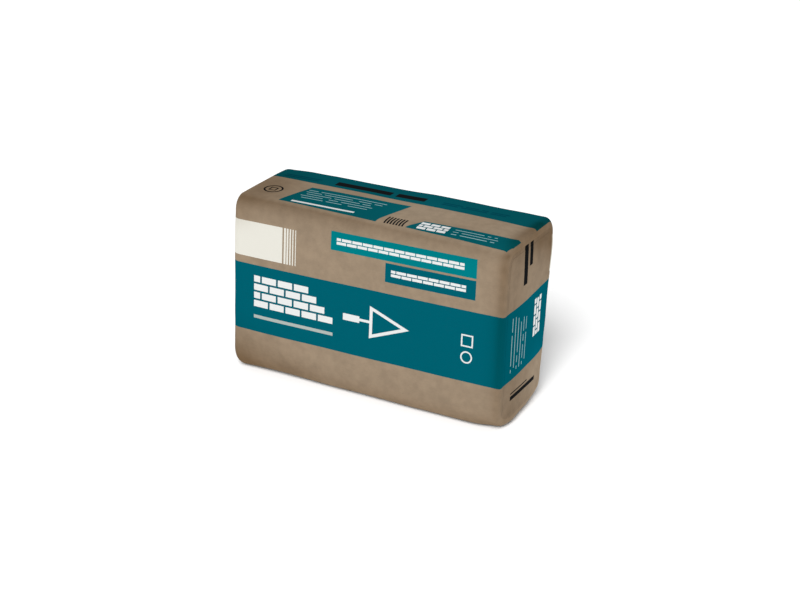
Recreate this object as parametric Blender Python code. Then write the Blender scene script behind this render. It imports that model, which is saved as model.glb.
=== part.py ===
"""A filled 25 kg cement sack: a pasted block-bottom paper valve sack on its long narrow side.

Frame: metres, origin at the middle of the face it stands on, +X along the sack's length,
-Y out of its wide printed front, +Z up.
"""
import math

import bmesh
import bpy

# Driving dimensions of the filled sack
LENGTH = 0.430            # over both end covers, along X
EDGE_THICKNESS = 0.160    # between the two wide faces near their folds, along Y
EDGE_HEIGHT = 0.272       # the mean of the two ends, along Z
RIGHT_END_RISE = 0.0039   # how much taller the sack stands at its right end, and lower at its left
FACE_CROWN = 0.002        # how far each wide face stands out in its middle
TOP_CROWN = 0.002         # how far the top stands up in its middle
CROWN_POWER_ALONG = 4     # the crown stays even along the sack and drops near its ends
CROWN_POWER_ACROSS = 3    # and the same across each wall
CONTACT_GAP = 0.0003      # between two pieces that touch

# Soft folds that run along the sack
FRONT_TOP_RADIUS = 0.022
BACK_TOP_RADIUS = 0.018
FRONT_BOTTOM_RADIUS = 0.034
BACK_BOTTOM_RADIUS = 0.038

# Folds round each block bottom, where the walls turn into the sack's end
LEFT_END_RADII = {"front": 0.013, "back": 0.013, "top": 0.008, "bottom": 0.012}
RIGHT_END_RADII = {"front": 0.007, "back": 0.013, "top": 0.012, "bottom": 0.016}
CORNER_SHARPENING = 0.5   # share of an end fold's inset that a long fold's radius loses
LEAST_RADIUS = 0.001

# Cover sheets pasted over the block bottoms, and the valve's paper sleeve
SHEET_THICKNESS = 0.0005
COVER_MARGIN = 0.006      # from the edge of the flat end to the cover's edge
VALVE_ROOM = 0.030        # the left cover stops this much lower, to free the valve
SLEEVE_WIDTH = 0.086
SLEEVE_HEIGHT = 0.018
SLEEVE_CORNER_RADIUS = 0.003

# How finely the round shapes are divided
ARC_STEPS = 6
END_STEPS = 7
MIDDLE_STEPS = 7
FACE_STEPS = 5
TOP_STEPS = 4
SHARP_EDGE_DEGREES = 35

KRAFT_PAPER = (0.342, 0.258, 0.178, 1.0)
COVER_PAPER = (0.365, 0.278, 0.195, 1.0)
SLEEVE_PAPER = (0.445, 0.350, 0.255, 1.0)
PAPER_ROUGHNESS = 0.75


def remove_all_objects():
    for existing in list(bpy.data.objects):
        bpy.data.objects.remove(existing)


def paper_material(name, colour):
    """A dull paper finish of one colour."""
    material = bpy.data.materials.new(name)
    material.use_nodes = True
    shader = material.node_tree.nodes["Principled BSDF"]
    shader.inputs["Base Color"].default_value = colour
    shader.inputs["Roughness"].default_value = PAPER_ROUGHNESS
    shader.inputs["Metallic"].default_value = 0.0
    return material


def arc(centre_y, centre_z, radius, start_degrees):
    """A quarter turn round a corner, counter-clockwise seen from +X."""
    points = []
    for step in range(ARC_STEPS + 1):
        angle = math.radians(start_degrees + 90 * step / ARC_STEPS)
        points.append((centre_y + radius * math.cos(angle), centre_z + radius * math.sin(angle)))
    return points


def between(first, last, steps):
    """The points that divide the straight line from first to last, without its ends."""
    points = []
    for step in range(1, steps):
        share = step / steps
        points.append((first[0] + share * (last[0] - first[0]), first[1] + share * (last[1] - first[1])))
    return points


def rounded_section(sides, radii):
    """A rectangle in the YZ plane with four different corner radii.

    sides holds y_front, y_back, z_bottom and z_top. radii holds the corner radii in the order
    front bottom, back bottom, back top, front top.
    """
    y_front, y_back, z_bottom, z_top = sides
    front_bottom, back_bottom, back_top, front_top = radii
    corners = [
        arc(y_front + front_bottom, z_bottom + front_bottom, front_bottom, 180),
        arc(y_back - back_bottom, z_bottom + back_bottom, back_bottom, 270),
        arc(y_back - back_top, z_top - back_top, back_top, 0),
        arc(y_front + front_top, z_top - front_top, front_top, 90),
    ]
    steps_after = (1, FACE_STEPS, TOP_STEPS, FACE_STEPS)
    section = []
    for index, corner in enumerate(corners):
        following = corners[(index + 1) % len(corners)]
        section += corner + between(corner[-1], following[0], steps_after[index])
    return section


def fold_inset(depth, radius):
    """How far a wall has pulled in at this depth from the sack's end."""
    if depth >= radius:
        return 0.0
    return radius - math.sqrt(radius ** 2 - (radius - depth) ** 2)


def section_sides(depth, end_radii):
    """The sack's y_front, y_back, z_bottom and z_top at this depth from one of its ends."""
    return (
        -EDGE_THICKNESS / 2 + fold_inset(depth, end_radii["front"]),
        EDGE_THICKNESS / 2 - fold_inset(depth, end_radii["back"]),
        fold_inset(depth, end_radii["bottom"]),
        EDGE_HEIGHT - fold_inset(depth, end_radii["top"]),
    )


def section_radii(sides, margin=0.0):
    """The long folds' radii where the walls have pulled in to these sides."""
    y_front, y_back, z_bottom, z_top = sides
    front = y_front + EDGE_THICKNESS / 2
    back = EDGE_THICKNESS / 2 - y_back
    top = EDGE_HEIGHT - z_top
    folds = (
        (FRONT_BOTTOM_RADIUS, max(front, z_bottom)),
        (BACK_BOTTOM_RADIUS, max(back, z_bottom)),
        (BACK_TOP_RADIUS, max(back, top)),
        (FRONT_TOP_RADIUS, max(front, top)),
    )
    return [max(LEAST_RADIUS, radius - CORNER_SHARPENING * inset - margin) for radius, inset in folds]


def height_factor(x):
    """How tall the sack stands at x, as a share of its mean height: it is fuller to the right."""
    return 1 + RIGHT_END_RISE / EDGE_HEIGHT * 2 * x / LENGTH


def crowned(x, y, z):
    """Moves a point of the plain rounded block out to the sack's slightly bulging walls."""
    along = 1 - abs(2 * x / LENGTH) ** CROWN_POWER_ALONG
    up = 1 - abs(2 * z / EDGE_HEIGHT - 1) ** CROWN_POWER_ACROSS
    across = 2 * y / EDGE_THICKNESS
    rise = max(0.0, 2 * z / EDGE_HEIGHT - 1) * (1 - abs(across) ** CROWN_POWER_ACROSS)
    height = (z + TOP_CROWN * along * rise) * height_factor(x)
    return (x, y + FACE_CROWN * along * up * across, height)


def stations():
    """Places along X with the depth from the nearer end, close together round the end folds."""
    end_x = LENGTH / 2 - SHEET_THICKNESS - CONTACT_GAP
    places = []
    for sign, end_radii in ((-1, LEFT_END_RADII), (1, RIGHT_END_RADII)):
        longest = max(end_radii.values())
        for step in range(END_STEPS + 1):
            depth = longest * (1 - math.cos(math.radians(90 * step / END_STEPS)))
            places.append((sign * (end_x - depth), depth, end_radii))
    inner = end_x - max(max(LEFT_END_RADII.values()), max(RIGHT_END_RADII.values()))
    for step in range(1, MIDDLE_STEPS):
        x = inner * (2 * step / MIDDLE_STEPS - 1)
        places.append((x, end_x - abs(x), LEFT_END_RADII))
    return sorted(places, key=lambda place: place[0])


def skin_between(bm, rings):
    """Joins each ring of points to the next and closes the first and the last one flat."""
    vertex_rings = [[bm.verts.new(point) for point in ring] for ring in rings]
    count = len(vertex_rings[0])
    for ring, following in zip(vertex_rings, vertex_rings[1:]):
        for index in range(count):
            after = (index + 1) % count
            bm.faces.new((ring[index], ring[after], following[after], following[index]))
    bm.faces.new(vertex_rings[0])
    bm.faces.new(reversed(vertex_rings[-1]))
    bmesh.ops.recalc_face_normals(bm, faces=bm.faces)


def add_piece(name, rings, material):
    """Makes one closed piece from rings of points that run along +X."""
    mesh = bpy.data.meshes.new(name)
    bm = bmesh.new()
    skin_between(bm, rings)
    bm.to_mesh(mesh)
    bm.free()
    mesh.shade_smooth()
    mesh.set_sharp_from_angle(angle=math.radians(SHARP_EDGE_DEGREES))
    mesh.materials.append(material)
    piece = bpy.data.objects.new(name, mesh)
    bpy.context.collection.objects.link(piece)
    return piece


def add_sack_body(material):
    """The filled tube of the sack: its paper walls with the cement that fills them."""
    rings = []
    for x, depth, end_radii in stations():
        sides = section_sides(depth, end_radii)
        section = rounded_section(sides, section_radii(sides))
        rings.append([crowned(x, y, z) for y, z in section])
    return add_piece("sack_body", rings, material)


def end_sheet_rings(sign, outline):
    """The two rings of a flat sheet that lies on the left (-1) or the right (1) end."""
    outer = sign * LENGTH / 2
    inner = sign * (LENGTH / 2 - SHEET_THICKNESS)
    factor = height_factor(outer)
    return [[(x, y, z * factor) for y, z in outline] for x in sorted((outer, inner))]


def cover_outline(end_radii, room_above):
    """The outline of a cover sheet: the flat end, a margin smaller all round."""
    end_sides = section_sides(0.0, end_radii)
    y_front, y_back, z_bottom, z_top = end_sides
    sides = (
        y_front + COVER_MARGIN,
        y_back - COVER_MARGIN,
        z_bottom + COVER_MARGIN,
        z_top - COVER_MARGIN - room_above,
    )
    return rounded_section(sides, section_radii(end_sides, COVER_MARGIN))


def add_end_covers(material):
    """The sheets that close the folded block bottoms at the left and the right end."""
    left = end_sheet_rings(-1, cover_outline(LEFT_END_RADII, VALVE_ROOM))
    right = end_sheet_rings(1, cover_outline(RIGHT_END_RADII, 0.0))
    add_piece("end_cover_left", left, material)
    add_piece("end_cover_right", right, material)


def add_valve_sleeve(material):
    """The flattened paper sleeve of the filling valve, above the left cover."""
    cover_top = EDGE_HEIGHT - LEFT_END_RADII["top"] - COVER_MARGIN - VALVE_ROOM
    z_bottom = cover_top + CONTACT_GAP
    sides = (-SLEEVE_WIDTH / 2, SLEEVE_WIDTH / 2, z_bottom, z_bottom + SLEEVE_HEIGHT)
    outline = rounded_section(sides, [SLEEVE_CORNER_RADIUS] * 4)
    add_piece("valve_sleeve", end_sheet_rings(-1, outline), material)


def main():
    remove_all_objects()
    add_sack_body(paper_material("printed_kraft_paper", KRAFT_PAPER))
    add_end_covers(paper_material("cover_paper", COVER_PAPER))
    add_valve_sleeve(paper_material("sleeve_paper", SLEEVE_PAPER))


main()
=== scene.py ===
"""The looks of the filled cement sack: its paper skin, the print on it, the floor, light and camera.

Frame: metres, origin at the middle of the face the sack stands on, +X along its length, -Y out
of its wide printed front, +Z up.

The skin starts as the part's plain rounded block. Dents and swellings move it in and out, and at
last it is settled, which makes it taller towards its right end.
"""
import math

import bpy
import numpy as np
from mathutils import Matrix, Vector

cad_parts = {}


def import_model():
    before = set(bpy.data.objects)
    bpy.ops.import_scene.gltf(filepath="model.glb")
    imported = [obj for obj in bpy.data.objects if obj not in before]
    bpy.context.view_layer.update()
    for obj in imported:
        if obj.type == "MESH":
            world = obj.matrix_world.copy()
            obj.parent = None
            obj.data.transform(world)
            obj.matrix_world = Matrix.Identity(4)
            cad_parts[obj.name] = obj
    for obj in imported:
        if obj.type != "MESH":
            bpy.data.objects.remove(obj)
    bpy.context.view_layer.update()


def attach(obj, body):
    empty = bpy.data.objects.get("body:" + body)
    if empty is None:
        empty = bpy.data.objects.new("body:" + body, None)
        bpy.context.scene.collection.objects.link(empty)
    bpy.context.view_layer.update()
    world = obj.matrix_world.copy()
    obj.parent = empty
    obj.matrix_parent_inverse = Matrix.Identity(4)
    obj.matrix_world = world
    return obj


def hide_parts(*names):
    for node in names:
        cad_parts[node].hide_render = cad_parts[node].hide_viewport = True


# The sack's form, as the part has it
LENGTH = 0.430
THICKNESS = 0.160         # between the two wide faces near their folds
HEIGHT = 0.272            # the mean of the two ends
RIGHT_END_RISE = 0.0039   # how much taller the sack stands at its right end, and lower at its left
FACE_CROWN = 0.002
TOP_CROWN = 0.002
CROWN_POWER_ALONG = 4
CROWN_POWER_ACROSS = 3
FRONT_TOP_RADIUS = 0.022
BACK_TOP_RADIUS = 0.018
FRONT_BOTTOM_RADIUS = 0.034
BACK_BOTTOM_RADIUS = 0.038
LEFT_END_RADII = {"front": 0.013, "back": 0.013, "top": 0.008, "bottom": 0.012}
RIGHT_END_RADII = {"front": 0.007, "back": 0.013, "top": 0.012, "bottom": 0.016}
CORNER_SHARPENING = 0.5
LEAST_RADIUS = 0.001
END_X = 0.2142            # the flat ends, under the cover sheets
COVER_MARGIN = 0.006
VALVE_ROOM = 0.030
SLEEVE_WIDTH = 0.086
SLEEVE_HEIGHT = 0.018
CONTACT_GAP = 0.0003

# How finely the skin is divided
FRONT_STEPS = 92
EDGE_STEPS = 56
LONG_STEPS = 134
FOLD_STEPS = 10
SHARP_EDGE_DEGREES = 40

# The unevenness of paper pressed out by powder: a slow and a quick wave of soft noise
SLOW_WAVE = 0.0006
SLOW_CELL = 0.070
SLOW_SEED = 11
QUICK_WAVE = 0.00016
QUICK_CELL = 0.024
QUICK_SEED = 12
NOISE_CELLS = 16          # after this many the noise starts again
NOISE_SHIFT = 100         # the number of the cell at the origin

# The flat ends, pressed out in their middle over the folded flaps below their cover sheets
END_BULGE = 0.0012
BULGE_HALF_WIDTH = 0.066
BULGE_HALF_HEIGHT = 0.122
BULGE_POWER = 4
LAP_WIDTH = 0.036         # where the two side flaps of a block bottom lie over each other
LAP_MIDDLE = 0.003
FLAP_REACH = 0.070        # how far a block bottom's corner flaps reach in
FLAP_EDGE = 0.0008        # how softly a flap's edge presses through
FLAP_STEPS = {-1: 0.00026, 1: 0.00007}    # and how far, at the left and the right end

# The step where the tube's pasted edge laps over, along the back
SEAM_STEP = 0.00022
SEAM_LEVEL = 0.150
SEAM_EDGE = 0.0006

# The pasted sheets at the ends
PAPER = 0.00018
COVER_LIFT = 0.00005
COVER_SHEET = 0.00016
MOUTH = 0.0022            # how far the valve sleeve stands open
THUMB_CUT = 0.0035        # the notch in the upper lip of its mouth
THUMB_CUT_SHARE = 0.22    # the notch's half width, as a share of the sleeve's
MOUTH_CORNER_DROP = 0.002
SLEEVE_STEPS_ACROSS = 36
SLEEVE_STEPS_UP = 12
SLEEVE_LINING_START = 3   # the first step up that the sleeve is open from

# Where the unfolded skin lies in the map for baking, before it is scaled
NET_MARGIN = 0.005
LEFT_END_NET = (0.53, 0.005)
RIGHT_END_NET = (0.53, 0.300)
NET_SCALE = 1.13

# Colours, linear
KRAFT = (0.342, 0.258, 0.178)
# The ends' kraft is KRAFT painted darker: painted shade on the ends
SHADED_END_KRAFT = (0.301, 0.227, 0.157)
SLEEVE_KRAFT = (0.445, 0.350, 0.255)
SPECK = (0.10, 0.065, 0.04)
# Painted shade tints the paper towards this warm dark brown
PAINTED_SHADE_TINT = (0.26, 0.14, 0.0)     # what full shade leaves of the paper's colour
DARK_TEAL = (0.0, 0.116, 0.158)
BRIGHT_TEAL = (0.0, 0.212, 0.243)
STRIPE_TEAL = (0.002, 0.098, 0.120)
TOP_TEAL = (0.002, 0.108, 0.130)
FAINT_TEAL = (0.001, 0.060, 0.088)
OFF_WHITE = (0.83, 0.81, 0.73)
WHITE_INK = (0.85, 0.86, 0.85)
GREY_INK = (0.45, 0.50, 0.47)
PALE_TEAL = (0.36, 0.56, 0.58)
BLACK_INK = (0.010, 0.011, 0.012)

# The paper's finish, and how far its painted shade and painted light go
LEAST_SHADE = -0.3        # below 0 the paper is lighter than its colour
MOST_SHADE = 0.62
SPECK_STRENGTH = 0.7
PAPER_ROUGHNESS = 0.84
INK_SMOOTHNESS = 0.14     # how much less rough the ink is
INK_WOBBLE = 0.0006       # how far the ink's edges wander
BUMP_STRENGTH = 0.35
BUMP_HEIGHT = 0.00025

# The print's main places
BAND_BOTTOM = 0.0709      # in the middle of the front
BAND_TOP = 0.1747
BAND_CLIMB = 0.0052       # the print is a little crooked: it climbs this steeply to the right
BACK_BAND_RISE = 0.0065   # the band sits this much higher on the back
BAND_SLANT = 0.0435       # and climbs towards it over the ends
LABEL_BOTTOM = 0.186
LABEL_TOP = 0.240
STRIPE_SLANT = -0.029     # the top's stripe comes forward towards the right
TOP_PRINT_END = 0.2118    # the top's print stops where its end folds turn down
BEYOND = 1.0              # past every edge of the sack

# The print's bricks, each with its length, its height and the width of its joints
PANEL_BRICK = (0.0150, 0.0040, 0.0014)
WALL_BRICK = (0.0235, 0.0098, 0.0030)
TOP_BRICK = (0.0130, 0.0062, 0.0020)
TOP_BAR = (0.0026, 0.0220, 0.0019)
END_BRICK = (0.0140, 0.0070, 0.0022)

# The print's dashes
DASH = 0.0050
DASH_THICKNESS = 0.0016
DASH_GAPS = 0.14          # the share of the dashes that are left out
DASH_RAGGEDNESS = 0.3     # how much shorter a row may end, as a share of its length
OTHER_DRAW = 7.0          # sets a row's random length apart from its random gaps

# The studio: azimuths run from straight in front towards the sack's right end
WORLD_STRENGTH = 0.675
LAMP_DISTANCE = 3.0
KEY_AZIMUTH = 10
KEY_ELEVATION = 42
KEY_SIZE = 0.8
KEY_POWER = 13.3
BACKDROP_WHITE = 1.0      # what the camera sees behind the sack
FLOOR_REACH = 6.0
FLOOR_WHITE = 0.5
FLOOR_GLOW = 0.05
FLOOR_ROUGHNESS = 0.9
FLOOR_LAMP_AZIMUTH = 15.5
FLOOR_LAMP_ELEVATION = 40
FLOOR_LAMP_ANGLE = 26
FLOOR_LAMP_STRENGTH = 6.95

# The photo's camera
CAMERA_PLACE = (1.1342, -2.2178, 1.1800)
CAMERA_YAW = 26.732
CAMERA_PITCH = 22.883
CAMERA_ROLL = -2.173
FOCAL_PIXELS = 1895.0
SENSOR_WIDTH = 36.0
IMAGE_WIDTH = 800


def smooth_step(value, low, high):
    """0 below low, 1 above high, and smooth between them."""
    share = np.clip((value - low) / (high - low), 0, 1)
    return share * share * (3 - 2 * share)


def soft_noise(points, cell, seed):
    """Smooth noise between -1 and 1, in lumps about one cell wide."""
    lattice = np.random.default_rng(seed).uniform(-1, 1, (NOISE_CELLS, NOISE_CELLS, NOISE_CELLS))
    in_cells = points / cell + NOISE_SHIFT
    corner = np.floor(in_cells).astype(int)
    share = smooth_step(in_cells - corner, 0, 1)
    total = np.zeros(len(points))
    for step in np.ndindex(2, 2, 2):
        index = (corner + step) % NOISE_CELLS
        weight = np.where(np.array(step) == 1, share, 1 - share).prod(axis=1)
        total += weight * lattice[index[:, 0], index[:, 1], index[:, 2]]
    return total


# The plain rounded form, before its dents

def fold_inset(depth, radius):
    """How far a wall has pulled in at this depth from the sack's end."""
    if depth >= radius:
        return 0.0
    return radius - math.sqrt(radius ** 2 - (radius - depth) ** 2)


def section_sides(depth, end_radii):
    """The sack's y_front, y_back, z_bottom and z_top at this depth from one of its ends."""
    return (
        -THICKNESS / 2 + fold_inset(depth, end_radii["front"]),
        THICKNESS / 2 - fold_inset(depth, end_radii["back"]),
        fold_inset(depth, end_radii["bottom"]),
        HEIGHT - fold_inset(depth, end_radii["top"]),
    )


def section_radii(sides, margin=0.0):
    """The long folds' radii: front bottom, back bottom, back top and front top."""
    y_front, y_back, z_bottom, z_top = sides
    front = y_front + THICKNESS / 2
    back = THICKNESS / 2 - y_back
    top = HEIGHT - z_top
    folds = (
        (FRONT_BOTTOM_RADIUS, max(front, z_bottom)),
        (BACK_BOTTOM_RADIUS, max(back, z_bottom)),
        (BACK_TOP_RADIUS, max(back, top)),
        (FRONT_TOP_RADIUS, max(front, top)),
    )
    return [max(LEAST_RADIUS, radius - CORNER_SHARPENING * inset - margin) for radius, inset in folds]


def stations():
    """Places along X with the depth from the nearer end, close together round the end folds."""
    places = []
    longest = max(*LEFT_END_RADII.values(), *RIGHT_END_RADII.values())
    for sign, end_radii in ((-1, LEFT_END_RADII), (1, RIGHT_END_RADII)):
        for step in range(FOLD_STEPS + 1):
            depth = longest * (1 - math.cos(math.radians(90 * step / FOLD_STEPS)))
            places.append((sign * (END_X - depth), depth, end_radii))
    inner = END_X - longest
    for step in range(1, LONG_STEPS):
        x = inner * (2 * step / LONG_STEPS - 1)
        places.append((x, END_X - abs(x), LEFT_END_RADII))
    return sorted(places, key=lambda place: place[0])


def wall_profile(places, low, high, start, end, start_radius, end_radius):
    """Bends the two edges of a straight wall round its corners.

    places are the wall's own print coordinates, from low to high. The wall's flat runs from
    start to end, and the wall takes half of each rounded corner. Gives where each place comes
    to lie along the wall, and how far inward.
    """
    along = places.copy()
    inward = np.zeros(len(places))
    corners = ((low, start, start_radius, 1), (high, end, end_radius, -1))
    for edge, corner, radius, sign in corners:
        share = sign * (places - edge) / (abs(corner - edge) + radius)
        near = share < 1
        angle = math.radians(45) * (1 - share[near])
        along[near] = corner + sign * radius * (1 - np.sin(angle))
        inward[near] = radius * (1 - np.cos(angle))
    return along, inward


def wall_places():
    """The print coordinates up a wide wall and across a narrow one."""
    up = np.linspace(0, HEIGHT, FRONT_STEPS + 1)
    across = np.linspace(-THICKNESS / 2, THICKNESS / 2, EDGE_STEPS + 1)
    return up, across


def ring_of_points(x, sides, radii):
    """One closed ring round the sack: up the front, back over the top, down, and forward below."""
    up, across = wall_places()
    y_front, y_back, z_bottom, z_top = sides
    front_bottom, back_bottom, back_top, front_top = radii
    front_z, front_in = wall_profile(up, 0, HEIGHT, z_bottom, z_top, front_bottom, front_top)
    back_z, back_in = wall_profile(up, 0, HEIGHT, z_bottom, z_top, back_bottom, back_top)
    edges = (-THICKNESS / 2, THICKNESS / 2)
    top_y, top_in = wall_profile(across, *edges, y_front, y_back, front_top, back_top)
    below_y, below_in = wall_profile(across, *edges, y_front, y_back, front_bottom, back_bottom)
    front = np.column_stack([y_front + front_in, front_z])
    top = np.column_stack([top_y, z_top - top_in])
    back = np.column_stack([y_back - back_in, back_z])[::-1]
    below = np.column_stack([below_y, z_bottom + below_in])[::-1]
    ring = np.vstack([front[:-1], top[:-1], back[:-1], below[:-1]])
    return np.column_stack([np.full(len(ring), x), ring])


def crowned(points):
    """Moves points of the plain rounded block out to the sack's slightly bulging walls."""
    x, y, z = points.T
    along = 1 - np.abs(2 * x / LENGTH) ** CROWN_POWER_ALONG
    up = 1 - np.abs(2 * z / HEIGHT - 1) ** CROWN_POWER_ACROSS
    across = 2 * y / THICKNESS
    rise = np.maximum(0, 2 * z / HEIGHT - 1) * (1 - np.abs(across) ** CROWN_POWER_ACROSS)
    return np.column_stack([x, y + FACE_CROWN * along * up * across, z + TOP_CROWN * along * rise])


def settled(points):
    """Makes the sack taller towards its right end, where it is fuller, and lower towards its left."""
    x, y, z = points.T
    return np.column_stack([x, y, z * (1 + RIGHT_END_RISE / HEIGHT * 2 * x / LENGTH)])


# Dents, creases and swellings

def lump(points, centre, reach):
    """A soft round spot: 1 at its centre, fading out over its reach along each axis."""
    distance = (points - np.array(centre)) / np.array(reach)
    return np.exp(-(distance ** 2).sum(axis=1))


def line_share(points, start, end):
    """How far along a line each point is, from 0 to 1, and how far off it."""
    start = np.array(start)
    line = np.array(end) - start
    share = np.clip((points - start) @ line / (line @ line), 0, 1)
    return share, np.linalg.norm(points - start - share[:, None] * line, axis=1)


def furrow(points, start, end, width):
    """A soft straight furrow from start to end: 1 along its line, fading towards its ends."""
    share, off_line = line_share(points, start, end)
    fade = np.sin(math.pi * np.clip(share, 0.02, 0.98)) ** 0.5
    return np.exp(-(off_line / width) ** 2) * fade


def streak(points, start, end, width, start_strength, end_strength):
    """A soft straight streak whose strength changes evenly from its start to its end."""
    share, off_line = line_share(points, start, end)
    return np.exp(-(off_line / width) ** 2) * (start_strength + share * (end_strength - start_strength))


def front_dents(points):
    """The dents and creases that show on the front and the folds round it. Each has its depth first."""
    slack_fold = 0.0014 * furrow(points, (-0.205, -0.076, 0.262), (-0.065, -0.080, 0.250), 0.012)
    crease = 0.0004 * furrow(points, (-0.205, -0.069, 0.2685), (0.195, -0.0755, 0.264), 0.0035)
    top_corner = 0.0008 * lump(points, (-0.180, -0.055, 0.270), (0.030, 0.030, 0.020))
    corner = 0.0007 * lump(points, (-0.213, -0.070, 0.247), (0.014, 0.022, 0.014))
    slant = 0.0012 * furrow(points, (-0.180, -0.080, 0.058), (-0.085, -0.074, 0.012), 0.013)
    low_left = 0.0018 * lump(points, (-0.140, -0.062, 0.004), (0.050, 0.030, 0.022))
    low_right = 0.0045 * lump(points, (0.202, -0.068, 0.008), (0.018, 0.022, 0.016))
    low_corner = 0.0010 * lump(points, (-0.212, -0.060, 0.010), (0.014, 0.022, 0.016))
    foot, head = (0.2121, -0.0779, 0.045), (0.2121, -0.0779, 0.235)
    right_fold = streak(points, foot, head, 0.0035, 0.0015, 0.0006)
    dents = slack_fold + crease + top_corner + corner + slant + low_left + low_right
    return right_fold + low_corner - dents


def end_dents(points):
    """The slack and the swelling of the right end. Each has its depth first."""
    beside_fold = 0.0006 * furrow(points, (END_X, -0.062, 0.020), (END_X, -0.062, 0.250), 0.011)
    far_side = 0.0008 * furrow(points, (END_X, 0.040, 0.030), (END_X, 0.046, 0.235), 0.018)
    top_corner = 0.0012 * lump(points, (0.205, 0.062, 0.262), (0.030, 0.022, 0.020))
    low_back = 0.0011 * lump(points, (0.206, 0.072, 0.140), (0.030, 0.026, 0.044))
    low_fold = streak(points, (0.209, 0.073, 0.090), (0.209, 0.070, 0.042), 0.021, 0.0024, 0.0044)
    low_far = 0.0034 * lump(points, (END_X, 0.048, 0.011), (0.014, 0.019, 0.016))
    middle = 0.0010 * furrow(points, (END_X, -0.020, 0.030), (END_X, -0.020, 0.240), 0.026)
    back_fold = 0.0020 * lump(points, (0.206, 0.072, 0.225), (0.030, 0.026, 0.036))
    low_front = 0.0026 * lump(points, (END_X, -0.032, 0.006), (0.010, 0.028, 0.014))
    top_fold = 0.0040 * furrow(points, (0.2107, -0.076, 0.2687), (0.2107, 0.056, 0.2687), 0.0050)
    slack = beside_fold + far_side + top_corner + low_back + low_fold + low_far
    return middle + back_fold + low_front + top_fold - slack


def far_dents(points):
    """How the left end's folds and the top's back fold depart from even rounds."""
    top_back = 0.0014 * lump(points, (-0.205, 0.073, 0.268), (0.022, 0.020, 0.016))
    front_fold = 0.0005 * furrow(points, (-END_X, -0.074, 0.040), (-END_X, -0.074, 0.210), 0.016)
    back_fold = 0.0009 * lump(points, (0.030, 0.068, 0.270), (0.028, 0.026, 0.016))
    return front_fold + back_fold - top_back


def back_seam(points):
    """The step where the tube's pasted edge laps over, along the back."""
    on_back = smooth_step(points[:, 1], 0.070, 0.078)
    return SEAM_STEP * on_back * smooth_step(SEAM_LEVEL - points[:, 2], -SEAM_EDGE, SEAM_EDGE)


def relief(points):
    """How far the paper stands out (+) or lies in (-) at these points of the plain form."""
    total = SLOW_WAVE * soft_noise(points, SLOW_CELL, SLOW_SEED)
    total += QUICK_WAVE * soft_noise(points, QUICK_CELL, QUICK_SEED)
    return total + front_dents(points) + end_dents(points) + far_dents(points) + back_seam(points)


def end_swelling(points, sign):
    """How far the left (-1) or the right (1) flat end stands out, over the edges of its flaps."""
    y, z = points[:, 1], points[:, 2]
    across = 1 - np.clip(np.abs(y / BULGE_HALF_WIDTH), 0, 1) ** BULGE_POWER
    up = 1 - np.clip(np.abs((z - HEIGHT / 2) / BULGE_HALF_HEIGHT), 0, 1) ** BULGE_POWER
    lap = smooth_step(LAP_WIDTH / 2 - np.abs(y - LAP_MIDDLE), -FLAP_EDGE, FLAP_EDGE)
    flaps = smooth_step(FLAP_REACH - np.abs(y) - np.minimum(z, HEIGHT - z), -FLAP_EDGE, FLAP_EDGE)
    return (END_BULGE + FLAP_STEPS[sign] * (lap + flaps)) * across * up


# Painted shade, darkest along the folds, and painted light where the paper is made lighter

def top_shade(points):
    """Along the front's top fold and on the narrow top."""
    left = -END_X
    crease = streak(points, (left, -0.069, 0.2685), (0.185, -0.075, 0.2645), 0.0026, 0.18, 0.11)
    fold = streak(points, (left, -0.072, 0.266), (0.180, -0.0755, 0.2635), 0.010, 0.29, 0.10)
    below_fold = streak(points, (left, -0.080, 0.254), (0.180, -0.080, 0.254), 0.014, 0.09, 0.03)
    left_corner = 0.17 * lump(points, (-0.205, -0.076, 0.246), (0.026, 0.030, 0.020))
    left_end = 0.42 * lump(points, (-0.196, -0.020, 0.272), (0.044, 0.075, 0.012))
    right_edge = streak(points, (0.204, -0.045, 0.275), (0.208, 0.035, 0.275), 0.010, 0.16, 0.30)
    below_panel = streak(points, (0.196, -0.078, 0.264), (0.2118, -0.0735, 0.2645), 0.0045, 0.08, 0.26)
    light_middle = 0.24 * lump(points, (0.055, -0.010, 0.273), (0.060, 0.050, 0.012))
    light_right = 0.18 * lump(points, (0.178, -0.022, 0.273), (0.022, 0.030, 0.012))
    dark = crease + fold + below_fold + left_corner + left_end + right_edge + below_panel
    return dark - light_middle - light_right


def low_shade(points):
    """Along the front's bottom fold."""
    fold = streak(points, (-END_X, -0.068, 0.004), (0.190, -0.068, 0.004), 0.025, 0.33, 0.36)
    light_edge = streak(points, (-0.190, -0.060, 0.0), (0.200, -0.060, 0.0), 0.013, 0.16, 0.08)
    left = 0.47 * lump(points, (-END_X, -0.080, 0.020), (0.066, 0.050, 0.042))
    slack = 0.17 * lump(points, (-0.112, -0.078, 0.024), (0.045, 0.030, 0.020))
    return fold - light_edge + left + slack


def right_fold_shade(points):
    """Along the upright fold between the front and the right end: a narrow dark line in a wide one."""
    narrow = streak(points, (0.2105, -0.080, 0.020), (0.2095, -0.079, 0.260), 0.007, 0.17, 0.18)
    wide = streak(points, (0.2115, -0.080, 0.046), (0.2115, -0.080, 0.246), 0.017, 0.09, 0.24)
    return narrow + wide


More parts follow.
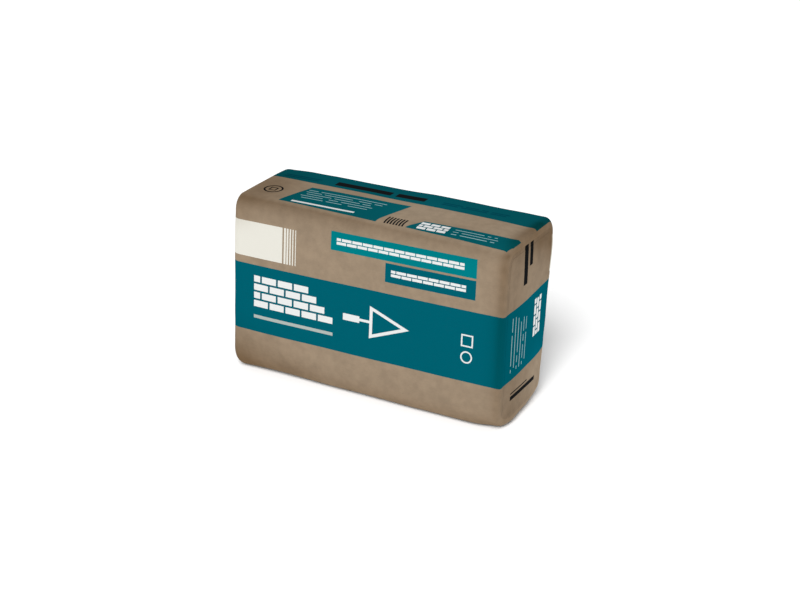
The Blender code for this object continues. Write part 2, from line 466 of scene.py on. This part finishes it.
def end_shade(points):
    """On the right end, and none of it on the back."""
    beside_fold = streak(points, (END_X, -0.045, 0.030), (END_X, -0.045, 0.262), 0.022, 0.14, 0.09)
    top = streak(points, (END_X, -0.060, 0.266), (END_X, 0.075, 0.262), 0.033, 0.12, 0.42)
    top *= smooth_step(points[:, 0], 0.197, 0.211)
    edge = streak(points, (END_X, -0.062, 0.267), (END_X, 0.010, 0.268), 0.010, 0.24, 0.18)
    far_slack = 0.22 * lump(points, (END_X, 0.028, 0.252), (0.030, 0.018, 0.014))
    far_corner = 0.28 * lump(points, (END_X, 0.066, 0.238), (0.030, 0.022, 0.022))
    bottom = streak(points, (END_X, -0.050, 0.0), (END_X, 0.030, 0.0), 0.030, 0.15, 0.14)
    light_middle = 0.08 * lump(points, (END_X, 0.022, 0.200), (0.030, 0.030, 0.030))
    light_low_far = 0.36 * lump(points, (END_X, 0.045, 0.048), (0.030, 0.032, 0.040))
    dark = beside_fold + top + edge + far_slack + far_corner + bottom
    return (dark - light_middle - light_low_far) * (1 - smooth_step(points[:, 1], 0.073, 0.080))


def shade(points):
    """Painted shade along the folds, the share of light taken from the paper; below 0, painted light."""
    total = top_shade(points) + low_shade(points) + right_fold_shade(points) + end_shade(points)
    return np.clip(total, LEAST_SHADE, MOST_SHADE)


# Mesh making

def grid_faces(index):
    """Four-sided faces over a grid of vertex numbers."""
    corners = (index[:-1, :-1], index[1:, :-1], index[1:, 1:], index[:-1, 1:])
    return np.stack(corners, axis=-1).reshape(-1, 4)


def grid_corners(grid):
    """The values at each face's four corners, for a grid of values."""
    corners = (grid[:-1, :-1], grid[1:, :-1], grid[1:, 1:], grid[:-1, 1:])
    return np.stack(corners, axis=2).reshape(-1, 4, grid.shape[-1])


def split_ring(ring):
    """A ring's four walls: the two edges up (front, back) and the two across (bottom, top)."""
    closed = np.concatenate([ring, ring[:1]])
    first = FRONT_STEPS
    second = FRONT_STEPS + EDGE_STEPS
    third = 2 * FRONT_STEPS + EDGE_STEPS
    front = closed[:first + 1]
    top = closed[first:second + 1]
    back = closed[second:third + 1][::-1]
    bottom = closed[third:][::-1]
    return front, back, bottom, top


def filled_patch(ring):
    """A smooth grid of points that fills a ring. Its first direction is +Y, its second +Z."""
    front, back, bottom, top = split_ring(ring)
    s = np.linspace(0, 1, len(bottom))[:, None, None]
    t = np.linspace(0, 1, len(front))[None, :, None]
    between_sides = (1 - s) * front[None] + s * back[None]
    between_levels = (1 - t) * bottom[:, None] + t * top[:, None]
    corners = (1 - s) * ((1 - t) * bottom[0] + t * top[0]) + s * ((1 - t) * bottom[-1] + t * top[-1])
    return between_sides + between_levels - corners


def tube_normals(tube):
    """Unit normals of the tube's grid of points, which is closed along its second direction."""
    along = np.gradient(tube, axis=0)
    around = np.roll(tube, -1, axis=1) - np.roll(tube, 1, axis=1)
    normals = np.cross(along, around)
    normals /= np.linalg.norm(normals, axis=2, keepdims=True)
    normals[0] = (-1, 0, 0)
    normals[-1] = (1, 0, 0)
    return normals


def raised(grid, normals, more=0.0):
    """Moves a grid of points out along its normals, by the relief and this much more, and settles it."""
    flat = grid.reshape(-1, 3)
    moved = flat + normals.reshape(-1, 3) * (relief(flat) + more)[:, None]
    moved[:, 2] = np.maximum(moved[:, 2], 0)
    return settled(moved).reshape(grid.shape)


def on_end(points, sign, lift=0.0):
    """Lays points of a plain flat end on its swollen skin, lifted off it by this much."""
    flat = points.reshape(-1, 3)
    out = np.zeros(flat.shape)
    out[:, 0] = sign
    moved = raised(flat, out, end_swelling(flat, sign) + lift)
    return moved.reshape(points.shape)


def make_piece(name, vertices, faces, materials):
    """A smooth mesh object from arrays."""
    mesh = bpy.data.meshes.new(name)
    mesh.from_pydata(vertices.tolist(), [], faces.tolist())
    for material in materials:
        mesh.materials.append(material)
    mesh.shade_smooth()
    mesh.set_sharp_from_angle(angle=math.radians(SHARP_EDGE_DEGREES))
    piece = bpy.data.objects.new(name, mesh)
    bpy.context.scene.collection.objects.link(piece)
    return piece


def add_uv_map(piece, name, face_corners):
    """Writes one UV map from an array of faces x corners x 2."""
    layer = piece.data.uv_layers.new(name=name)
    layer.data.foreach_set("uv", face_corners.astype(np.float32).ravel())


def add_shade(piece):
    """Writes the painted shade at each point, how much its colour is darkened, for the paper's material.
    """
    points = np.array([vertex.co for vertex in piece.data.vertices])
    attribute = piece.data.attributes.new("shade", "FLOAT", "POINT")
    attribute.data.foreach_set("value", shade(points).astype(np.float32))


def plain_tube():
    """The tube's grid of points before its dents: rings along X, each ring round the sack."""
    rings = []
    for x, depth, end_radii in stations():
        sides = section_sides(depth, end_radii)
        rings.append(ring_of_points(x, sides, section_radii(sides)))
    tube = np.array(rings)
    return crowned(tube.reshape(-1, 3)).reshape(tube.shape)


def unrolled_tube(tube):
    """The print coordinates of the tube's grid: X, and the way round it from the front's bottom."""
    up, across = wall_places()
    half = np.concatenate([up[:-1], HEIGHT + THICKNESS / 2 + across[:-1]])
    girth = 2 * (HEIGHT + THICKNESS)
    around = np.concatenate([half, half + girth / 2, [girth]])
    shape = (len(tube), len(around))
    return np.stack([np.broadcast_to(tube[:, :1, 0], shape), np.broadcast_to(around, shape)], axis=-1)


def add_sack(materials):
    """The sack's whole skin: the tube with its rounded folds, the left end and the right end."""
    tube = plain_tube()
    rings, girth_steps = tube.shape[:2]
    around = np.arange(girth_steps + 1) % girth_steps
    numbers = np.arange(rings)[:, None] * girth_steps + around
    vertices = [raised(tube, tube_normals(tube)).reshape(-1, 3)]
    faces = [grid_faces(numbers)]
    prints = [grid_corners(unrolled_tube(tube))]
    nets = [prints[0] + (LENGTH / 2 + NET_MARGIN, NET_MARGIN)]
    for ring, sign, net_place in ((0, -1, LEFT_END_NET), (rings - 1, 1, RIGHT_END_NET)):
        patch = filled_patch(tube[ring])
        first = sum(map(len, vertices))
        inner = on_end(patch[1:-1, 1:-1], sign)
        vertices.append(inner.reshape(-1, 3))
        rim = ring * girth_steps + np.arange(girth_steps)
        grid = np.zeros(patch.shape[:2], int)
        grid[0], grid[-1], grid[:, 0], grid[:, -1] = split_ring(rim)
        grid[1:-1, 1:-1] = first + np.arange(inner[..., 0].size).reshape(inner.shape[:2])
        turn = slice(None, None, sign)
        faces.append(grid_faces(grid)[:, turn])
        prints.append(grid_corners(patch[..., 1:])[:, turn])
        nets.append(prints[-1] + net_place)
    sack = make_piece("sack_skin", np.vstack(vertices), np.vstack(faces), materials)
    part_of_face = np.repeat(np.arange(3), [len(part) for part in faces])
    sack.data.polygons.foreach_set("material_index", part_of_face)
    add_uv_map(sack, "print", np.vstack(prints))
    add_uv_map(sack, "OFBake", np.vstack(nets) * NET_SCALE)
    add_shade(sack)
    return sack


def add_cover(name, sign, end_radii, room_above, material):
    """The sheet pasted over one block bottom: it follows the swollen end and has its own edge."""
    end_sides = section_sides(0.0, end_radii)
    y_front, y_back, z_bottom, z_top = end_sides
    sides = (
        y_front + COVER_MARGIN,
        y_back - COVER_MARGIN,
        z_bottom + COVER_MARGIN,
        z_top - COVER_MARGIN - room_above,
    )
    radii = section_radii(end_sides, COVER_MARGIN)
    patch = filled_patch(ring_of_points(sign * END_X, sides, radii))
    outer = on_end(patch, sign, COVER_LIFT + COVER_SHEET).reshape(-1, 3)
    inner = on_end(patch, sign, COVER_LIFT).reshape(-1, 3)
    grid = np.arange(len(outer)).reshape(patch.shape[:2])
    rim = np.concatenate([grid[:, 0], grid[-1, 1:], grid[:-1, -1][::-1], grid[0, 1:-1][::-1]])
    rim = np.append(rim, rim[0])
    turn = slice(None, None, sign)
    skin = grid_faces(grid)
    edge = grid_faces(np.stack([rim, rim + len(outer)]))
    faces = np.vstack([skin[:, turn], skin[:, ::-1][:, turn] + len(outer), edge[:, ::-1][:, turn]])
    cover = make_piece(name, np.vstack([outer, inner]), faces, (material,))
    print_places = np.tile(patch.reshape(-1, 3)[:, 1:], (2, 1))
    add_uv_map(cover, "print", print_places[faces])
    add_shade(cover)
    return cover


def sleeve_ring(level, inside):
    """One closed ring round the flattened sleeve at a level from 0, its foot, to 1, its mouth.

    inside asks for the ring on the sleeve's inner side. share runs across the sleeve.
    """
    share = np.linspace(-1, 1, SLEEVE_STEPS_ACROSS + 1)
    inset = PAPER if inside else 0
    open_by = MOUTH * level ** 2 * (1 - share ** 2) ** 1.5
    foot = HEIGHT - LEFT_END_RADII["top"] - COVER_MARGIN - VALVE_ROOM + CONTACT_GAP
    away_from_edge = 1 - share ** 8
    cut = THUMB_CUT * np.exp(-(share / THUMB_CUT_SHARE) ** 4) * level ** 4
    rise = level * (SLEEVE_HEIGHT - MOUTH_CORNER_DROP * share ** 8)
    x = np.full(len(share), -END_X)
    y = share * (SLEEVE_WIDTH / 2 - inset)
    front = on_end(np.column_stack([x, y, foot + rise - cut]), -1)
    front[:, 0] -= PAPER + (3 * PAPER + open_by - inset) * away_from_edge
    back = on_end(np.column_stack([x, y, foot + rise]), -1)
    back[:, 0] -= PAPER + (inset - PAPER) * away_from_edge
    return np.vstack([front, back[1:-1][::-1]])


def add_valve_sleeve(material):
    """The flattened paper sleeve of the filling valve, its mouth a little open."""
    levels = np.linspace(0, 1, SLEEVE_STEPS_UP + 1)
    rings = [sleeve_ring(level, False) for level in levels]
    rings += [sleeve_ring(level, True) for level in levels[SLEEVE_LINING_START:][::-1]]
    count = len(rings[0])
    numbers = np.arange(len(rings))[:, None] * count + np.arange(count + 1) % count
    faces = [grid_faces(numbers)]
    half = count // 2
    for ring in (0, len(rings) - 1):
        front = ring * count + np.arange(half + 1)
        back = ring * count + (-np.arange(half + 1)) % count
        closing = grid_faces(np.stack([front, back]))[1:-1]
        faces.append(closing if ring else closing[:, ::-1])
    sleeve = make_piece("valve_sleeve_paper", np.vstack(rings), np.vstack(faces), (material,))
    add_shade(sleeve)
    return sleeve


# Numbers and shapes worked out by a material's nodes

class Field:
    """A number that varies over a surface, worked out by a material's nodes."""

    def __init__(self, tree, socket):
        self.tree = tree
        self.socket = socket

    def by(self, operation, *others):
        """This number joined with others by one of Blender's math operations."""
        node = self.tree.nodes.new("ShaderNodeMath")
        node.operation = operation
        for index, value in enumerate((self, *others)):
            if isinstance(value, Field):
                self.tree.links.new(value.socket, node.inputs[index])
            else:
                node.inputs[index].default_value = value
        return Field(self.tree, node.outputs[0])

    def __add__(self, other):
        return self.by("ADD", other)

    def __sub__(self, other):
        return self.by("SUBTRACT", other)

    def __mul__(self, other):
        return self.by("MULTIPLY", other)

    def __abs__(self):
        return self.by("ABSOLUTE")

    def below(self, limit):
        return self.by("LESS_THAN", limit)

    def above(self, limit):
        return self.by("GREATER_THAN", limit)

    def floor(self):
        return self.by("FLOOR")

    def larger(self, other):
        return self.by("MAXIMUM", other)

    def smaller(self, other):
        return self.by("MINIMUM", other)

    def spread(self, low, high, new_low=0.0, new_high=1.0):
        """Maps low..high to new_low..new_high and keeps what lies beyond at those."""
        node = self.tree.nodes.new("ShaderNodeMapRange")
        self.tree.links.new(self.socket, node.inputs["Value"])
        node.inputs["From Min"].default_value = low
        node.inputs["From Max"].default_value = high
        node.inputs["To Min"].default_value = new_low
        node.inputs["To Max"].default_value = new_high
        return Field(self.tree, node.outputs["Result"])


def any_of(fields):
    """1 where any of the fields is 1."""
    total = fields[0]
    for field in fields[1:]:
        total = total.larger(field)
    return total


def random_of(first, second):
    """A random number from 0 to 1 for each pair of whole numbers."""
    tree = first.tree
    pair = tree.nodes.new("ShaderNodeCombineXYZ")
    tree.links.new(first.socket, pair.inputs["X"])
    tree.links.new(second.socket, pair.inputs["Y"])
    node = tree.nodes.new("ShaderNodeTexWhiteNoise")
    node.noise_dimensions = "2D"
    tree.links.new(pair.outputs[0], node.inputs["Vector"])
    return Field(tree, node.outputs["Value"])


class Page:
    """The flat coordinates that a print is laid out in, in metres."""

    def __init__(self, u, v):
        self.u = u
        self.v = v

    def box(self, left, right, bottom, top):
        """1 inside a rectangle."""
        beyond_side = abs(self.u - (left + right) / 2) - (right - left) / 2
        beyond_level = abs(self.v - (bottom + top) / 2) - (top - bottom) / 2
        return beyond_side.larger(beyond_level).below(0.0)

    def frame(self, left, right, bottom, top, width):
        """1 on the outline of a rectangle, inside its edges."""
        outer = self.box(left, right, bottom, top)
        inner = self.box(left + width, right - width, bottom + width, top - width)
        return outer - inner

    def ring(self, u, v, radius, width):
        """1 on a round line."""
        across = self.u - u
        level = self.v - v
        distance = (across * across + level * level).by("SQRT")
        return abs(distance - radius).below(width / 2)

    def inside(self, points):
        """How far inside a convex shape each place is. The points run anticlockwise."""
        nearest = None
        for (u0, v0), (u1, v1) in zip(points, points[1:] + points[:1]):
            length = math.hypot(u1 - u0, v1 - v0)
            normal_u, normal_v = (v0 - v1) / length, (u1 - u0) / length
            part = self.u.by("MULTIPLY_ADD", normal_u, -normal_u * u0 - normal_v * v0)
            distance = self.v.by("MULTIPLY_ADD", normal_v, part)
            nearest = distance if nearest is None else nearest.smaller(distance)
        return nearest

    def bricks(self, left, bottom, brick, courses, course_length, step_back=0.0):
        """1 on a wall of bricks in running bond. Each course ends step_back before the one below.

        brick holds a brick's length and height and the width of the joints.
        """
        length, height, joint = brick
        level = self.v - bottom
        row = (level * (1 / (height + joint))).floor()
        in_row = (level - row * (height + joint)).below(height)
        across = self.u - left
        shifted = across + row.by("MODULO", 2.0) * ((length + joint) / 2)
        column = (shifted * (1 / (length + joint))).floor()
        in_brick = (shifted - column * (length + joint)).below(length)
        in_course = across.above(0.0) * (across + row * step_back).below(course_length)
        in_wall = row.above(-0.5) * row.below(courses - 0.5)
        return in_row * in_brick * in_course * in_wall

    def dashes(self, left, right, bottom, top, pitch, thickness=DASH_THICKNESS):
        """1 on rows of short plain dashes of random lengths, with a ragged right side."""
        level = self.v - bottom
        row = (level * (1 / pitch)).floor()
        in_row = (level - row * pitch).below(thickness)
        cell = (self.u * (1 / DASH)).floor()
        printed = random_of(cell, row).above(DASH_GAPS)
        ragged = random_of(row, row + OTHER_DRAW) * ((right - left) * DASH_RAGGEDNESS)
        in_length = (self.u + ragged).below(right)
        return self.box(left, right, bottom, top) * in_row * printed * in_length


# The print. All of it is plain and generic: no lettering, no marks of any maker

def band_ink(page):
    """The band that runs round the whole sack."""
    return page.box(-BEYOND, BEYOND, BAND_BOTTOM, BAND_TOP), DARK_TEAL


def wide_face_inks(page):
    """What is printed on each wide face, from the lowest layer up."""
    label_parts = [page.box(-BEYOND, -0.130, LABEL_BOTTOM, LABEL_TOP)]
    # The bars at the label's side, each thinner than the one before
    for index in range(5):
        left = -0.1275 + 0.0046 * index
        right = left + 0.0032 - 0.0005 * index
        label_parts.append(page.box(left, right, LABEL_BOTTOM, LABEL_TOP))
    upper_panel = page.box(-0.052, 0.171, 0.2225, 0.2505)
    lower_panel = page.box(0.034, 0.171, 0.1915, 0.2195)
    blade = page.inside([(0.012, 0.102), (0.074, 0.1265), (0.012, 0.151)])
    trowel = [
        blade.above(0.0) - blade.above(0.0046),
        page.box(-0.004, 0.012, 0.1245, 0.1285),
        page.box(-0.030, -0.004, 0.1215, 0.1315),
    ]
    white_marks = any_of([
        page.bricks(-0.043, 0.2318, PANEL_BRICK, courses=2, course_length=0.1954),
        page.bricks(0.043, 0.2008, PANEL_BRICK, courses=2, course_length=0.1134),
        page.bricks(-0.176, 0.1105, WALL_BRICK, courses=4, course_length=0.1295, step_back=0.0133),
        *trowel,
        page.frame(0.153, 0.171, 0.122, 0.140, 0.0021),
        page.ring(0.162, 0.107, 0.0078, 0.0021),
    ])
    rule = page.box(-0.176, -0.046, 0.0925, 0.0975)
    return [
        band_ink(page),
        (any_of(label_parts), OFF_WHITE),
        (upper_panel, BRIGHT_TEAL),
        (lower_panel, DARK_TEAL),
        (white_marks, WHITE_INK),
        (rule, GREY_INK),
    ]


def top_inks(page):
    """What is printed on the narrow top, as far as the folds of its ends."""
    slanting = Page(page.u, page.v - page.u * STRIPE_SLANT)
    stripe = slanting.box(-TOP_PRINT_END, TOP_PRINT_END, 0.0185, 0.092)
    left_panel = page.inside([
        (-0.148, -0.0635),
        (0.009, -0.0708),
        (0.028, 0.004),
        (-0.132, 0.005),
    ])
    right_panel = page.inside([
        (0.0545, -0.0700),
        (0.2085, -0.0775),
        (0.2117, -0.0620),
        (0.2117, -0.0390),
        (0.071, -0.0405),
    ])
    lines = any_of([
        page.dashes(-0.130, 0.004, -0.040, 0.000, pitch=0.0080),
        page.dashes(0.122, 0.200, -0.066, -0.043, pitch=0.0080),
    ])
    white_marks = any_of([
        page.box(-0.130, -0.030, -0.0600, -0.0550),
        page.bricks(0.070, -0.0670, TOP_BRICK, courses=3, course_length=0.044),
    ])
    dark_marks = any_of([
        page.box(-0.110, -0.020, 0.0300, 0.0440),
        page.box(-0.012, 0.034, 0.0300, 0.0440),
        page.ring(-0.178, -0.026, 0.0130, 0.0028),
        page.frame(-0.184, -0.172, -0.032, -0.020, 0.0022),
        page.bricks(0.021, -0.070, TOP_BAR, courses=1, course_length=0.0315),
    ])
    faint_marks = any_of([
        page.dashes(-0.195, -0.125, 0.0320, 0.0440, pitch=0.0060, thickness=0.0030),
        page.dashes(0.060, 0.180, 0.0320, 0.0440, pitch=0.0060, thickness=0.0030),
    ])
    return [
        (stripe, STRIPE_TEAL),
        (left_panel.larger(right_panel).above(0.0), TOP_TEAL),
        (faint_marks, FAINT_TEAL),
        (lines, PALE_TEAL),
        (white_marks, WHITE_INK),
        (dark_marks, BLACK_INK),
    ]


def tube_inks(page):
    """The tube's print. Both wide faces share one design, and the top has its own."""
    on_back = page.v.above(HEIGHT + THICKNESS)
    level_on_back = page.v * -1 + (2 * HEIGHT + THICKNESS - BACK_BAND_RISE)
    level = page.v + (level_on_back - page.v) * on_back - page.u * BAND_CLIMB
    side = page.u * (on_back * -2 + 1)
    top = Page(page.u, page.v - (HEIGHT + THICKNESS / 2))
    return wide_face_inks(Page(side, level)) + top_inks(top)


def level_end_page(page, end_x):
    """The page of the end at end_x, on which the slanting band is level."""
    climb = (page.u + (THICKNESS / 2 - RIGHT_END_RADII["front"])) * BAND_SLANT
    return Page(page.u, page.v - climb - end_x * BAND_CLIMB)


def right_end_inks(page):
    """What is printed on the right end."""
    upright = Page(page.v, page.u * -1)
    wall = upright.bricks(0.112, -0.046, END_BRICK, courses=3, course_length=0.056)
    lines = upright.dashes(0.085, 0.168, 0.006, 0.054, pitch=0.0088)
    dark_marks = any_of([
        page.box(-0.024, -0.012, 0.203, 0.264),
        page.box(-0.006, 0.004, 0.226, 0.264),
        page.box(-0.046, 0.038, 0.041, 0.0475),
        page.box(-0.046, 0.010, 0.0505, 0.0525),
    ])
    return [
        band_ink(level_end_page(page, END_X)),
        (wall, WHITE_INK),
        (lines, PALE_TEAL),
        (dark_marks, BLACK_INK),
    ]


def left_end_inks(page):
    """What is printed on the hidden left end: the band, and the label that runs round the fold."""
    label = page.box(-BEYOND, -0.044, LABEL_BOTTOM, LABEL_TOP)
    return [band_ink(level_end_page(page, -END_X)), (label, OFF_WHITE)]


# Materials

def noise(tree, vector, scale, detail=2.0):
    """Blender's noise texture."""
    node = tree.nodes.new("ShaderNodeTexNoise")
    node.inputs["Scale"].default_value = scale
    node.inputs["Detail"].default_value = detail
    tree.links.new(vector, node.inputs["Vector"])
    return Field(tree, node.outputs[0])


def stretched(tree, vector, factors):
    """A vector with each part multiplied by its own factor."""
    node = tree.nodes.new("ShaderNodeVectorMath")
    node.operation = "MULTIPLY"
    tree.links.new(vector, node.inputs[0])
    node.inputs[1].default_value = factors
    return node.outputs[0]


def mixed(tree, factor, first, second, blend="MIX"):
    """Two colours mixed by a Field. A colour is a socket or three numbers."""
    node = tree.nodes.new("ShaderNodeMix")
    node.data_type = "RGBA"
    node.blend_type = blend
    node.clamp_factor = False
    tree.links.new(factor.socket, node.inputs[0])
    for index, colour in ((6, first), (7, second)):
        if isinstance(colour, tuple):
            node.inputs[index].default_value = (*colour, 1.0)
        else:
            tree.links.new(colour, node.inputs[index])
    return node.outputs[2]


def scaled(colour, factor):
    return tuple(factor * part for part in colour)


def specks(tree, place, scale, size, share):
    """Small round specks in a share of the cells of a loose grid."""
    node = tree.nodes.new("ShaderNodeTexVoronoi")
    node.inputs["Scale"].default_value = scale
    tree.links.new(place, node.inputs["Vector"])
    near = Field(tree, node.outputs["Distance"]).spread(size, size * 0.5)
    parts = tree.nodes.new("ShaderNodeSeparateColor")
    tree.links.new(node.outputs["Color"], parts.inputs[0])
    return near * Field(tree, parts.outputs[0]).below(share)


def print_page(tree, place):
    """The page of the piece's print, a little unsteady, as ink spreads in paper."""
    wobble = (noise(tree, place, scale=700, detail=1) - 0.5) * INK_WOBBLE
    uv = tree.nodes.new("ShaderNodeUVMap")
    uv.uv_map = "print"
    parts = tree.nodes.new("ShaderNodeSeparateXYZ")
    tree.links.new(uv.outputs["UV"], parts.inputs[0])
    return Page(Field(tree, parts.outputs["X"]) + wobble, Field(tree, parts.outputs["Y"]) + wobble)


def add_bump(tree, shader, height):
    """Roughens a surface finely by a Field from 0 to 1."""
    bump = tree.nodes.new("ShaderNodeBump")
    bump.inputs["Strength"].default_value = BUMP_STRENGTH
    bump.inputs["Distance"].default_value = BUMP_HEIGHT
    tree.links.new(height.socket, bump.inputs["Height"])
    tree.links.new(bump.outputs["Normal"], shader.inputs["Normal"])


def paper_material(name, colour, make_inks=None):
    """Kraft paper: cloudy, fibrous and specked, finely bumped, with matt ink where printed, and painted
    shade.
    """
    material = bpy.data.materials.new(name)
    material.use_nodes = True
    tree = material.node_tree
    shader = tree.nodes["Principled BSDF"]
    place = tree.nodes.new("ShaderNodeTexCoord").outputs["Object"]
    upright = stretched(tree, place, (1.0, 1.0, 0.16))
    level = stretched(tree, place, (1.0, 6.0, 6.0))
    clouds = noise(tree, place, scale=26, detail=5)
    mottling = noise(tree, place, scale=105, detail=4)
    streaks = noise(tree, upright, scale=120, detail=3)
    fibres = noise(tree, level, scale=260, detail=3)
    grain = noise(tree, place, scale=1100, detail=2)
    tone = clouds * 0.40 + mottling * 0.30 + streaks * 0.07 + fibres * 0.23
    paper = mixed(tree, tone.spread(0.39, 0.61), scaled(colour, 0.90), scaled(colour, 1.10))
    specked = specks(tree, place, scale=75, size=0.045, share=0.22) * SPECK_STRENGTH
    paper = mixed(tree, specked, paper, SPECK)
    if make_inks:
        layers = make_inks(print_page(tree, place))
        cover = (fibres * 0.6 + grain * 0.4).spread(0.30, 0.42, 0.96, 1.0)
        for mask, ink in layers:
            paper = mixed(tree, mask * cover, paper, ink)
        inked = any_of([mask for mask, ink in layers])
        roughness = inked * -INK_SMOOTHNESS + PAPER_ROUGHNESS
        tree.links.new(roughness.socket, shader.inputs["Roughness"])
    else:
        shader.inputs["Roughness"].default_value = PAPER_ROUGHNESS
    # Painted shade and painted light: the shade attribute darkens the colour towards the tint, or
    # lightens it below 0
    attribute = tree.nodes.new("ShaderNodeAttribute")
    attribute.attribute_name = "shade"
    darker = mixed(tree, Field(tree, attribute.outputs["Fac"]), paper, PAINTED_SHADE_TINT, "MULTIPLY")
    tree.links.new(darker, shader.inputs["Base Color"])
    shader.inputs["Specular IOR Level"].default_value = 0.0
    add_bump(tree, shader, grain * 0.5 + fibres * 0.5)
    return material


# Floor, light and camera

def add_floor():
    """A plain white floor, which glows a little so that it reads as white as the photo's."""
    mesh = bpy.data.meshes.new("floor")
    turns = ((-1, -1), (1, -1), (1, 1), (-1, 1))
    corners = [(FLOOR_REACH * x, FLOOR_REACH * y, 0) for x, y in turns]
    mesh.from_pydata(corners, [], [(0, 1, 2, 3)])
    floor = bpy.data.objects.new("floor", mesh)
    bpy.context.scene.collection.objects.link(floor)
    material = bpy.data.materials.new("floor_white")
    material.use_nodes = True
    shader = material.node_tree.nodes["Principled BSDF"]
    shader.inputs["Base Color"].default_value = (FLOOR_WHITE, FLOOR_WHITE, FLOOR_WHITE, 1)
    shader.inputs["Roughness"].default_value = FLOOR_ROUGHNESS
    shader.inputs["Specular IOR Level"].default_value = 0.0
    shader.inputs["Emission Color"].default_value = (1, 1, 1, 1)
    shader.inputs["Emission Strength"].default_value = FLOOR_GLOW
    mesh.materials.append(material)
    return floor


def towards(azimuth, elevation):
    """The direction of a lamp, seen from the sack."""
    azimuth, elevation = math.radians(azimuth), math.radians(elevation)
    level = math.cos(elevation)
    return Vector((level * math.sin(azimuth), -level * math.cos(azimuth), math.sin(elevation)))


def add_lamp(name, kind, direction):
    """A lamp that shines at the sack from this direction."""
    lamp = bpy.data.objects.new(name, bpy.data.lights.new(name, kind))
    lamp.location = LAMP_DISTANCE * direction + Vector((0, 0, HEIGHT / 2))
    lamp.rotation_euler = direction.to_track_quat("Z", "Y").to_euler()
    bpy.context.scene.collection.objects.link(lamp)
    return lamp


def add_light(floor):
    """An even soft studio all round, a large lamp in front, and one that lights the floor alone."""
    world = bpy.data.worlds.new("studio")
    bpy.context.scene.world = world
    world.use_nodes = True
    tree = world.node_tree
    background = tree.nodes["Background"]
    background.inputs["Color"].default_value = (1, 1, 1, 1)
    seen = tree.nodes.new("ShaderNodeLightPath").outputs["Is Camera Ray"]
    strength = Field(tree, seen).spread(0, 1, WORLD_STRENGTH, BACKDROP_WHITE)
    tree.links.new(strength.socket, background.inputs["Strength"])
    key = add_lamp("key", "AREA", towards(KEY_AZIMUTH, KEY_ELEVATION))
    key.data.size = KEY_SIZE
    key.data.energy = KEY_POWER
    floor_lamp = add_lamp("floor_lamp", "SUN", towards(FLOOR_LAMP_AZIMUTH, FLOOR_LAMP_ELEVATION))
    floor_lamp.data.angle = math.radians(FLOOR_LAMP_ANGLE)
    floor_lamp.data.energy = FLOOR_LAMP_STRENGTH
    only_floor = bpy.data.collections.new("only_floor")
    only_floor.objects.link(floor)
    floor_lamp.light_linking.receiver_collection = only_floor


def add_camera():
    """The photo's camera, from the fit of the sack to its outline there."""
    yaw, pitch, roll = (math.radians(angle) for angle in (CAMERA_YAW, CAMERA_PITCH, CAMERA_ROLL))
    ahead = math.cos(pitch)
    forward = Vector((-math.sin(yaw) * ahead, math.cos(yaw) * ahead, -math.sin(pitch)))
    level = Vector((math.cos(yaw), math.sin(yaw), 0))
    down = forward.cross(level)
    right = math.cos(roll) * level + math.sin(roll) * down
    below = -math.sin(roll) * level + math.cos(roll) * down
    data = bpy.data.cameras.new("camera")
    data.sensor_width = SENSOR_WIDTH
    data.lens = FOCAL_PIXELS * SENSOR_WIDTH / IMAGE_WIDTH
    camera = bpy.data.objects.new("camera", data)
    rotation = Matrix((right, -below, -forward)).transposed()
    camera.matrix_world = Matrix.Translation(CAMERA_PLACE) @ rotation.to_4x4()
    bpy.context.scene.collection.objects.link(camera)
    bpy.context.scene.camera = camera


def main():
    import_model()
    bpy.context.scene.view_settings.view_transform = "Standard"
    add_light(add_floor())
    add_camera()
    tube = paper_material("printed_tube", KRAFT, tube_inks)
    # Both ends use the kraft painted darker, as painted shade
    left_end = paper_material("printed_left_end", SHADED_END_KRAFT, left_end_inks)
    right_end = paper_material("printed_right_end", SHADED_END_KRAFT, right_end_inks)
    plain = paper_material("sleeve_kraft", SLEEVE_KRAFT)
    sack = add_sack((tube, left_end, right_end))
    left_cover = add_cover("left_cover_sheet", -1, LEFT_END_RADII, VALVE_ROOM, left_end)
    right_cover = add_cover("right_cover_sheet", 1, RIGHT_END_RADII, 0.0, right_end)
    sleeve = add_valve_sleeve(plain)
    for piece, node, slot in (
        (sack, "sack_body", "printed_kraft_paper"),
        (left_cover, "end_cover_left", "cover_paper"),
        (right_cover, "end_cover_right", "cover_paper"),
        (sleeve, "valve_sleeve", "sleeve_paper"),
    ):
        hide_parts(node)
        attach(piece, "root")


main()
